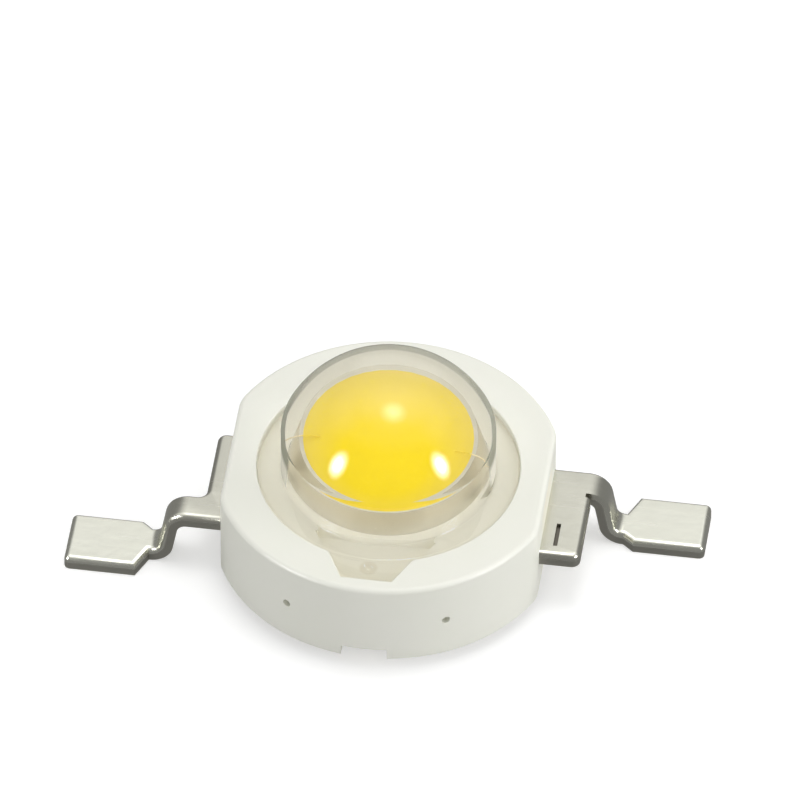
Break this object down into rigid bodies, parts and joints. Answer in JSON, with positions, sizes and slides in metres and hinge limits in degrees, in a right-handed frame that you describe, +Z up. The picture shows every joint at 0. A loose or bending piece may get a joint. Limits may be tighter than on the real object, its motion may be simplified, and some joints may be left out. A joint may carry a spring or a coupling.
{
  "type": "high power led",
  "caption": "Surface-mount high power LED emitter: round white housing on a metal slug, formed leads with solder pads, and a clear dome over a phosphor-filled cup.",
  "frame": {"origin": "middle of the heat slug's flat underside, on the board", "axes": "+X towards the anode's solder pad, +Z up out of the lens, -Y towards the side with the index notch and the needle dimple"},
  "size_m": [0.0144, 0.008, 0.0053],
  "materials": {
    "housing": "white moulded reflective plastic, faintly warm",
    "slug": "silver-plated copper, satin",
    "lead": "silver-plated copper strip, satin",
    "die": "polished semiconductor chip",
    "attach": "silver-filled epoxy",
    "gold": "gold wire",
    "phosphor": "phosphor powder in silicone, saturated yellow",
    "silicone": "clear soft gel",
    "lens": "clear moulded plastic, polished"
  },
  "bodies": {
    "root": {"housing": "housing", "heat_slug": "slug", "anode_lead": "lead", "cathode_lead": "lead", "led_die": "die", "die_attach": "attach", "bond_wire_anode": "gold", "bond_wire_cathode": "gold", "phosphor": "phosphor", "silicone_fill": "silicone", "lens": "lens"}
  },
  "joints": []
}
